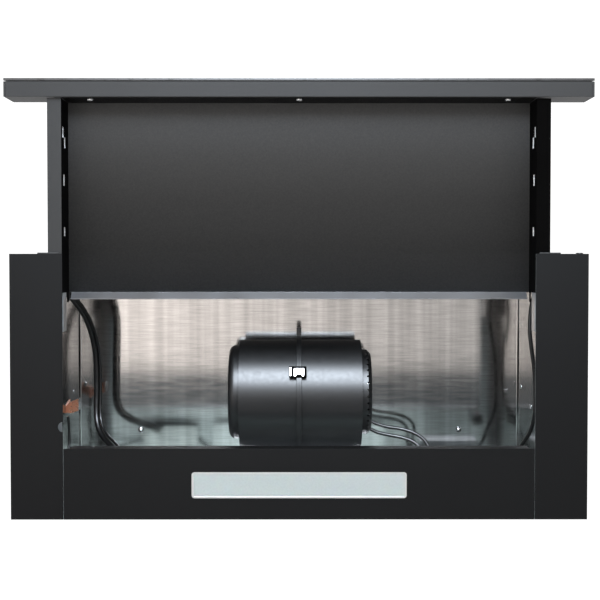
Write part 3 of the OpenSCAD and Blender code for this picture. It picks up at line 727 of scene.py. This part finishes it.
def spring_plate():
    plate = block("plate", (-5.6, -3.7, -1.7), (5.4, 3.2, -0.8))
    pick(plate, "faces", lambda f: looks(f, 0, 1, 0))
    bpy.ops.mesh.inset(thickness=0.0002, depth=0)
    close_edit()
    feet = [block("foot", (x0, 3, -1.6), (x0 + 2.2, 5.2, -0.8)) for x0 in (-5.4, 3)]
    bar = block("bar", (-10, -4.6, -1.7), (-8, 4.6, -0.8))
    return tilted(round_edges(join("low_clip_plate", plate, bar, *feet), 0.3, 3))


place(low_clip(), dull_black, "scroll_clips")
place(spring_plate(), clip_metal, "scroll_clips")
rear_clip = copy_of("scroll_clips", "rear_clip")
pick(rear_clip, "verts", lambda v: v.co.y < 0.06)
bpy.ops.mesh.delete(type="VERT")
close_edit()
place(round_edges(rear_clip, 0.4, 3), clip_metal, "scroll_clips")

# %% [markdown]
# ## The inlet ring
# Air enters through a bell-mouth. A torus has exactly its round lip, so half of one is kept, the
# two open rims are extruded back to the scroll as short skirts, and Solidify gives the wall.

# %% Inlet ring
AXIS_Y, AXIS_Z = 17, 68


def bell_mouth():
    clear_selection()
    bpy.ops.mesh.primitive_torus_add(location=mm(-70, AXIS_Y, AXIS_Z), rotation=(0, math.pi / 2, 0),
                                     major_segments=96, minor_segments=24,
                                     major_radius=0.045, minor_radius=0.007)
    ring = settle("inlet_bell_mouth")
    pick(ring, "faces", lambda f: f.calc_center_median().x > -0.07)
    bpy.ops.mesh.delete(type="FACE")
    for reach, outer in ((5, True), (6.8, False)):
        def on_open_rim(edge):
            radius = math.hypot(middle(edge).y - AXIS_Y, middle(edge).z - AXIS_Z)
            return edge.is_boundary and middle(edge).x > -70.5 and (radius > 45) == outer
        pick(ring, "edges", on_open_rim)
        bpy.ops.mesh.extrude_region_move(TRANSFORM_OT_translate={"value": mm(reach, 0, 0)})
    close_edit()
    wall = ring.modifiers.new("wall", "SOLIDIFY")
    wall.thickness = 0.0018
    wall.offset = -1
    apply(ring, wall)
    return round_edges(ring, 0.3, 2)


place(bell_mouth(), blower_plastic, "inlet_ring")
place(softened("motor_cap", 0.5, 3), blower_plastic, "motor_cap")

# %% [markdown]
# ## The wheel
# A blower wheel has forward-curved blades. One blade starts as a straight edge that is spun
# through an arc, which draws a curved strip, and then Solidify makes it thick. The row is made by
# copying that blade around the axis and joining the copies. The ring at its outer end is a disc
# with the middle cut out.

# %% Curved blades
BLADES = 36


def one_blade(name, x0, x1):
    clear_selection()
    bpy.ops.mesh.primitive_plane_add(size=1, location=mm((x0 + x1) / 2, AXIS_Y, AXIS_Z + 39.6))
    blade = settle(name, ((x1 - x0) / 1000, 0.0001, 1))
    pick(blade, "verts", lambda v: v.co.y > AXIS_Y / 1000)
    bpy.ops.mesh.delete(type="VERT")
    pick(blade, "edges", lambda e: True)
    bpy.ops.mesh.spin(steps=5, angle=math.radians(70), center=mm(0, AXIS_Y - 7, AXIS_Z + 39.6),
                      axis=(1, 0, 0))
    close_edit()
    wall = blade.modifiers.new("wall", "SOLIDIFY")
    wall.thickness = 0.0009
    wall.offset = 0
    apply(blade, wall)
    return blade


def end_ring(name, x, outer, inner, thick):
    ring = rod(name, "X", outer, (x, AXIS_Y, AXIS_Z), thick, 72)
    cut(ring, rod("bore", "X", inner, (x, AXIS_Y, AXIS_Z), thick + 4, 72))
    return round_edges(ring, 0.4, 2)


def blade_row(name, x0, x1, ring_x):
    first = one_blade("blade", x0, x1)
    blades = [first]
    for i in range(1, BLADES):
        copy = bpy.data.objects.new("blade", first.data.copy())
        bpy.context.scene.collection.objects.link(copy)
        turn = Matrix.Rotation(math.tau / BLADES * i, 4, "X")
        centre = Matrix.Translation(mm(0, AXIS_Y, AXIS_Z))
        copy.data.transform(centre @ turn @ centre.inverted())
        blades.append(copy)
    row = join(name, *blades, end_ring("ring", ring_x, 48.5, 39, 2))
    take(row)
    bpy.ops.object.shade_smooth_by_angle(angle=math.radians(30))
    return row


place(blade_row("wheel_blades_left", -59, -4, -59), wheel_plastic, "impeller_left")
place(blade_row("wheel_blades_right", -1.5, 61, 61), wheel_plastic, "impeller_right")
place(softened("impeller_hub", 0.4), wheel_plastic, "impeller_hub")
place(softened("motor_can", 1.5, 3), zinc_steel, "motor_can")
place(softened("capacitor", 1.4, 3), white_plastic, "capacitor")

# %% [markdown]
# ## The outlet
# A round collar takes the duct, and two half-round flaps on one pin close it when the fan is off.
# The collar is a moulding with a soft rim. The pin stays as packed.

# %% Collar and flaps
place(softened("duct_collar", 0.35), blower_plastic, "duct_collar")
for flap in ("flap_front", "flap_rear"):
    place(softened(flap, 0.25), wheel_plastic, flap)

# %% [markdown]
# ## Switches and wiring boxes
# These are mouldings with a small radius on every edge. The rocker also has a shallow hollow for
# the finger: its front face is inset and pushed in.

# %% Keys, switches, boxes and gland
def finger_rocker():
    key = block("rocker", (-281.4, -135.1, -26.4), (-264.6, -128, -13.6))
    pick(key, "faces", lambda f: looks(f, 0, -1, 0))
    bpy.ops.mesh.inset(thickness=0.0012, depth=0)
    bpy.ops.mesh.inset(thickness=0.0024, depth=-0.0007)
    close_edit()
    round_edges(key, 0.4, 3, 20)
    return join("speed_rocker_key", key, rod("pivot", "X", 1.5, (-273, -130, -20), 20, 24))


place(finger_rocker(), key_plastic, "speed_rocker")
place(softened("light_button", 0.5, 3), key_plastic, "light_button")
for node, width in (("speed_switch", 0.3), ("light_switch", 0.3), ("microswitch", 0.3),
                    ("terminal_box", 0.8), ("terminal_cover", 0.8), ("mains_gland", 0.6)):
    place(softened(node, width, 3), box_plastic if "terminal" in node else trim_plastic, node)
place(softened("microswitch_button", 0.3), red_plastic, "microswitch_button")

# %% [markdown]
# ## The copper contact
# A strip of copper, 13 mm wide, is riveted to the left side plate and bends out as a spring that
# touches the grease filter. It starts as one straight edge, as long as the strip is wide. Each
# extrude adds the next straight length, and Solidify gives the gauge.

# %% Earth contact
def contact_strip():
    profile = [(-256.6, 74), (-256.6, 51), (-249, 46.6), (-241.4, 43), (-241.2, 56)]
    clear_selection()
    bpy.ops.mesh.primitive_plane_add(size=1, location=mm(-256.6, 32.5, 74))
    strip = settle("copper_contact", (0.0001, 0.013, 1))
    pick(strip, "verts", lambda v: v.co.x > -0.2566)
    bpy.ops.mesh.delete(type="VERT")
    pick(strip, "edges", lambda e: True)
    for (x0, z0), (x1, z1) in zip(profile, profile[1:]):
        bpy.ops.mesh.extrude_region_move(TRANSFORM_OT_translate={"value": mm(x1 - x0, 0, z1 - z0)})
    for x, forward in ((-249, -1), (-241.3, -4)):
        pick(strip, "verts", lambda v: abs(v.co.x * 1000 - x) < 0.6)
        bpy.ops.transform.translate(value=mm(0, forward, 0))
    pick(strip, "verts", lambda v: v.co.x < -0.2563 and v.co.z < 0.06 and v.co.y < 0.03)
    bpy.ops.transform.translate(value=mm(0, 5, 0))
    close_edit()
    wall = strip.modifiers.new("gauge", "SOLIDIFY")
    wall.thickness = 0.0008
    wall.offset = 0
    apply(strip, wall)
    return round_edges(strip, 0.3, 2, 25)


contact = place(contact_strip(), copper, "earth_contact")
refinish(contact, bright_steel, lambda f: at(f).x > -241.9)

# %% [markdown]
# ## The leads
# Flexible leads run from the switches into the housing, to the motor, the terminal box and the
# lamp. Each is a round sheath on one smooth curve. The points are the places where a lead bends
# or is held, and a Bezier curve passes through them. The handles at a point lie along the line
# between its two neighbours and are a sixth as long, so no lead kinks.

# %% Routes
LEFT = [(-272, -111.9, -18), (-272, -104, -17), (-269, -98, -10), (-264, -97, 2), (-257.5, -97, 10.5),
        (-250, -95, 14), (-243, -88, 21), (-236, -76, 32), (-230.5, -60, 45), (-227.5, -40, 59),
        (-226.5, -18, 69), (-226.5, 14, 72), (-226.5, 42, 70), (-223, 57, 63), (-214, 68, 52),
        (-202, 76, 38), (-190, 84, 18), (-184, 91, 0), (-183, 93, -18.8)]
RIGHT = [(287, -113.9, -22), (286, -106, -21), (280, -99, -13), (271, -97, -1), (263, -97, 7),
         (256, -96, 10), (249.5, -89, 11), (246.5, -75, 11), (245.5, -55, 10), (247.5, -35, 10),
         (250.5, -15, 11), (252.5, 10, 13), (252.5, 35, 16), (250, 55, 26), (244, 70, 36),
         (236, 84, 44), (230, 98, 48), (222.1, 106, 48)]
MOTOR_A = [(79, 50, 72), (88, 54, 71), (100, 57, 70), (114, 59, 69), (128, 63, 66), (139, 70, 60),
           (144, 80, 53), (143, 92, 47), (142, 104, 42), (149.9, 112, 40)]
MOTOR_B = [(79, 58, 62), (88, 62, 61), (100, 64.5, 60), (114, 67, 58), (126, 71, 55), (134, 78, 50),
           (137, 88, 44), (137, 99, 37), (141, 109, 32), (149.9, 113, 31)]
FEED = [(149.9, 122, 28), (140, 123, 22), (122, 124, 6), (100, 125, -8), (60, 126, -16), (0, 126, -18),
        (-60, 126, -20), (-100, 124, -24), (-121, 116, -28), (-132.9, 106, -29)]
EARTH = [(-253.5, 42, 46), (-252.8, 50, 47), (-252.6, 62, 48), (-252.6, 76, 46), (-252.5, 90, 38),
         (-250, 102, 26), (-243, 110, 10), (-232, 112, -10), (-219, 110, -24), (-205.1, 108, -28)]


def beside(route, side, gap):
    """A route beside another one, carried along it without twist."""
    points, moved, normal = [Vector(p) for p in route], [], Vector(side)
    for i, point in enumerate(points):
        ahead = (points[min(i + 1, len(points) - 1)] - points[max(i - 1, 0)]).normalized()
        normal = (normal - normal.dot(ahead) * ahead).normalized()
        moved.append(tuple(point + gap * normal))
    return moved


# %% Lead curves
def lead(name, route, radius):
    clear_selection()
    line = bpy.data.curves.new(name, "CURVE")
    line.dimensions = "3D"
    line.bevel_depth = radius / 1000
    line.bevel_resolution = 4
    line.resolution_u = 6
    line.use_fill_caps = True
    spline = line.splines.new("BEZIER")
    spline.bezier_points.add(len(route) - 1)
    points = [mm(*p) for p in route]
    for i, bend in enumerate(spline.bezier_points):
        before, after = points[max(i - 1, 0)], points[min(i + 1, len(points) - 1)]
        bend.handle_left_type = bend.handle_right_type = "FREE"
        bend.co = points[i]
        bend.handle_left = points[i] - (after - before) / 6
        bend.handle_right = points[i] + (after - before) / 6
    piece = bpy.data.objects.new(name, line)
    bpy.context.scene.collection.objects.link(piece)
    place(piece, lead_sheath, "leads")


lead("lead_speed", LEFT, 3.2)
lead("lead_lamp", beside(LEFT, (1, 0, 0), 5.1), 1.6)
lead("lead_light", RIGHT, 2.2)
lead("lead_motor_a", MOTOR_A, 2)
lead("lead_motor_b", MOTOR_B, 2)
lead("lead_feed", FEED, 2)
lead("lead_earth", EARTH, 1.6)

# %% [markdown]
# ## Parts that stay as packed
# A few small or inner parts are right as they are. They stay as nodes of the frame, and only
# their finish changes.

# %% Finishes on kept nodes
kept = {"flap_pin": bright_steel, "motor_shaft": bright_steel, "motor_bearings": bright_steel,
        "motor_stator": laminations, "motor_rotor": laminations, "outlet_gasket": foam}
for node, finish in kept.items():
    frame["nodes"][node].data.materials.clear()
    frame["nodes"][node].data.materials.append(finish)
left_out = [n for n, o in frame["nodes"].items() if not o.hide_render and n not in kept]
print("nodes without a finish:", left_out)
